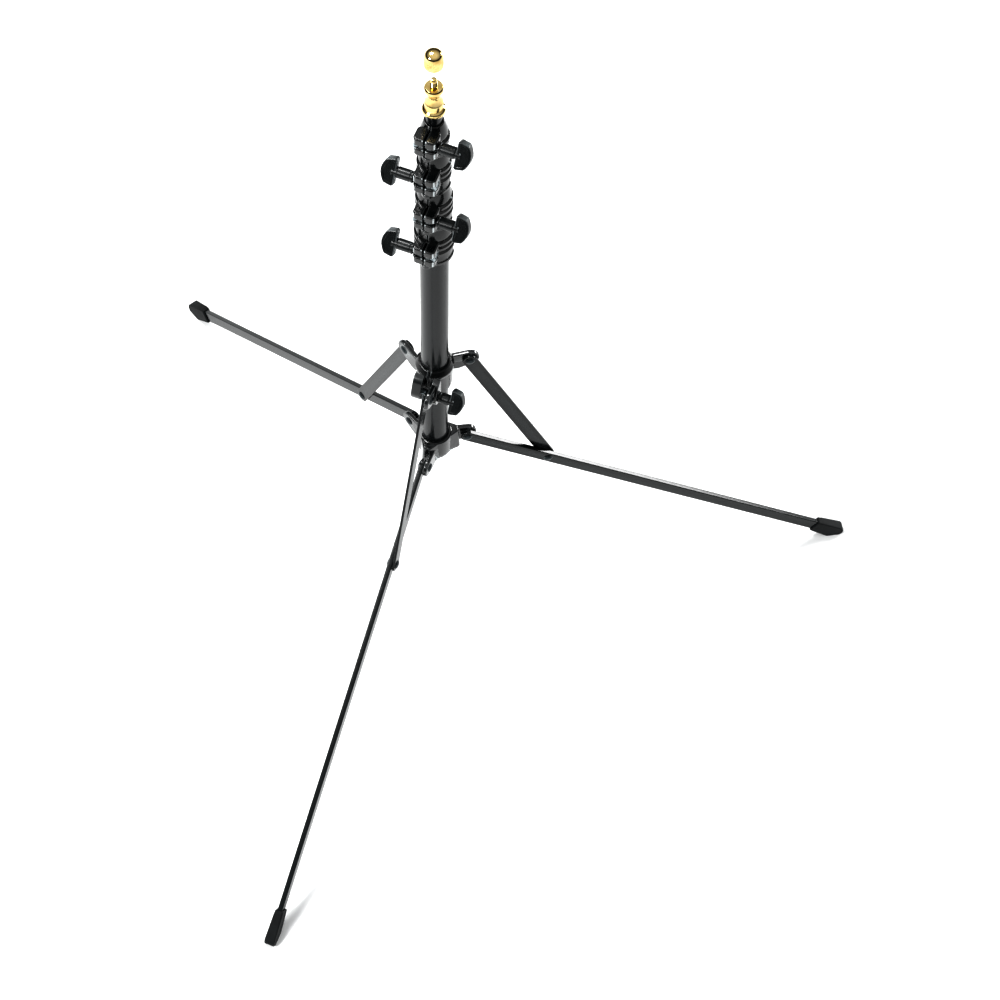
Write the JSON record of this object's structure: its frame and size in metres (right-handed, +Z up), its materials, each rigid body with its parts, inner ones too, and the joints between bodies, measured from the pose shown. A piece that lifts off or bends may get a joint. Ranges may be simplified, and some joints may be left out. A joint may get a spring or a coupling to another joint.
{
  "type": "lighting stand",
  "caption": "Compact folding lighting stand: a telescoping column with friction clamps and a 16 mm spigot, on three braced legs that fold up along it.",
  "frame": {"origin": "on the floor, under the middle of the footprint's bounding box; the column's axis stands 108.8 mm behind it, at x = 0", "axes": "+Z up along the column; -Y towards the front leg and the clamp lugs; +X towards the knobs of the second and fourth clamps"},
  "size_m": [0.776, 0.6722, 0.9067],
  "materials": {
    "anodised_tube": "black anodised drawn aluminium tube, satin",
    "black_casting": "black powder-coated die-cast aluminium, semi-gloss",
    "painted_steel": "black painted folded steel strip, satin",
    "knob_plastic": "black moulded nylon, fine texture",
    "zinc_steel": "zinc-plated steel fasteners",
    "brass": "polished turned brass",
    "rubber": "black moulded rubber",
    "nylon": "black nylon guide rings and plug"
  },
  "bodies": {
    "column": {"base_tube": "anodised_tube", "bottom_casting": "black_casting", "column_plug": "nylon", "clamp_collar_1": "black_casting", "clamp_nut_1": "zinc_steel", "leg_root_pin_1": "zinc_steel", "leg_root_pin_2": "zinc_steel", "leg_root_pin_3": "zinc_steel"},
    "riser_1": {"riser_tube_1": "anodised_tube", "riser_guide_1": "nylon", "clamp_collar_2": "black_casting", "clamp_nut_2": "zinc_steel"},
    "riser_2": {"riser_tube_2": "anodised_tube", "riser_guide_2": "nylon", "clamp_collar_3": "black_casting", "clamp_nut_3": "zinc_steel"},
    "riser_3": {"riser_tube_3": "anodised_tube", "riser_guide_3": "nylon", "clamp_collar_4": "black_casting", "clamp_nut_4": "zinc_steel"},
    "riser_4": {"riser_tube_4": "anodised_tube", "riser_guide_4": "nylon", "spigot": "brass"},
    "cap": {"spigot_cap": "brass"},
    "knob_1": {"clamp_knob_1": "knob_plastic", "clamp_screw_1": "zinc_steel"},
    "knob_2": {"clamp_knob_2": "knob_plastic", "clamp_screw_2": "zinc_steel"},
    "knob_3": {"clamp_knob_3": "knob_plastic", "clamp_screw_3": "zinc_steel"},
    "knob_4": {"clamp_knob_4": "knob_plastic", "clamp_screw_4": "zinc_steel"},
    "slider": {"sliding_collar": "black_casting", "sliding_collar_nut": "zinc_steel", "brace_ear_pin_1": "zinc_steel", "brace_ear_pin_2": "zinc_steel", "brace_ear_pin_3": "zinc_steel"},
    "slider_knob": {"sliding_collar_knob": "knob_plastic", "sliding_collar_screw": "zinc_steel"},
    "leg_1": {"leg_1": "painted_steel", "foot_1": "rubber", "leg_rivet_1": "zinc_steel"},
    "brace_1": {"brace_1": "painted_steel", "brace_rivet_1": "zinc_steel"},
    "leg_2": {"leg_2": "painted_steel", "foot_2": "rubber", "leg_rivet_2": "zinc_steel"},
    "brace_2": {"brace_2": "painted_steel", "brace_rivet_2": "zinc_steel"},
    "leg_3": {"leg_3": "painted_steel", "foot_3": "rubber", "leg_rivet_3": "zinc_steel"},
    "brace_3": {"brace_3": "painted_steel", "brace_rivet_3": "zinc_steel"}
  },
  "joints": [
    {"name": "riser_1_slide", "type": "slide", "parent": "column", "child": "riser_1", "axis": [0, 0, 1], "range_m": [0, 0.29]},
    {"name": "riser_2_slide", "type": "slide", "parent": "riser_1", "child": "riser_2", "axis": [0, 0, 1], "range_m": [0, 0.29]},
    {"name": "riser_3_slide", "type": "slide", "parent": "riser_2", "child": "riser_3", "axis": [0, 0, 1], "range_m": [0, 0.29]},
    {"name": "riser_4_slide", "type": "slide", "parent": "riser_3", "child": "riser_4", "axis": [0, 0, 1], "range_m": [0, 0.29]},
    {"name": "cap_slide", "type": "slide", "parent": "riser_4", "child": "cap", "axis": [0, 0, 1], "range_m": [-0.0265, 0]},
    {"name": "clamp_knob_1_turn", "type": "hinge", "parent": "column", "child": "knob_1", "pos_m": [0, 0.08834, 0.651], "axis": [-1, 0, 0], "range_deg": [0, 360]},
    {"name": "clamp_knob_2_turn", "type": "hinge", "parent": "riser_1", "child": "knob_2", "pos_m": [0, 0.08984, 0.702], "axis": [1, 0, 0], "range_deg": [0, 360]},
    {"name": "clamp_knob_3_turn", "type": "hinge", "parent": "riser_2", "child": "knob_3", "pos_m": [0, 0.09134, 0.753], "axis": [-1, 0, 0], "range_deg": [0, 360]},
    {"name": "clamp_knob_4_turn", "type": "hinge", "parent": "riser_3", "child": "knob_4", "pos_m": [0, 0.09284, 0.804], "axis": [1, 0, 0], "range_deg": [0, 360]},
    {"name": "spreader_slide", "type": "slide", "parent": "column", "child": "slider", "axis": [0, 0, 1], "range_m": [0, 0.1767]},
    {"name": "sliding_collar_knob_turn", "type": "hinge", "parent": "slider", "child": "slider_knob", "pos_m": [0, 0.08684, 0.42], "axis": [1, 0, 0], "range_deg": [0, 360]},
    {"name": "leg_1_fold", "type": "hinge", "parent": "column", "child": "leg_1", "pos_m": [0.02771, 0.12484, 0.2991], "axis": [0.5, -0.866, 0], "range_deg": [0, 120.44]},
    {"name": "brace_1_fold", "type": "hinge", "parent": "slider", "child": "brace_1", "pos_m": [0.02732, 0.12952, 0.43], "axis": [0.5, -0.866, 0], "range_deg": [-20.66, 0]},
    {"name": "leg_2_fold", "type": "hinge", "parent": "column", "child": "leg_2", "pos_m": [-0.02771, 0.12484, 0.2991], "axis": [0.5, 0.866, 0], "range_deg": [0, 120.44]},
    {"name": "brace_2_fold", "type": "hinge", "parent": "slider", "child": "brace_2", "pos_m": [-0.03157, 0.12216, 0.43], "axis": [0.5, 0.866, 0], "range_deg": [-20.66, 0]},
    {"name": "leg_3_fold", "type": "hinge", "parent": "column", "child": "leg_3", "pos_m": [0, 0.07684, 0.2991], "axis": [-1, 0, 0], "range_deg": [0, 120.44]},
    {"name": "brace_3_fold", "type": "hinge", "parent": "slider", "child": "brace_3", "pos_m": [0.00425, 0.07484, 0.43], "axis": [-1, 0, 0], "range_deg": [-20.66, 0]}
  ],
  "couplings": [
    {"joint": "leg_1_fold", "follows": "spreader_slide", "rad_per_m": 11.867},
    {"joint": "brace_1_fold", "follows": "spreader_slide", "rad_per_m": -2.0109},
    {"joint": "leg_2_fold", "follows": "spreader_slide", "rad_per_m": 11.867},
    {"joint": "brace_2_fold", "follows": "spreader_slide", "rad_per_m": -2.0109},
    {"joint": "leg_3_fold", "follows": "spreader_slide", "rad_per_m": 11.867},
    {"joint": "brace_3_fold", "follows": "spreader_slide", "rad_per_m": -2.0109}
  ]
}
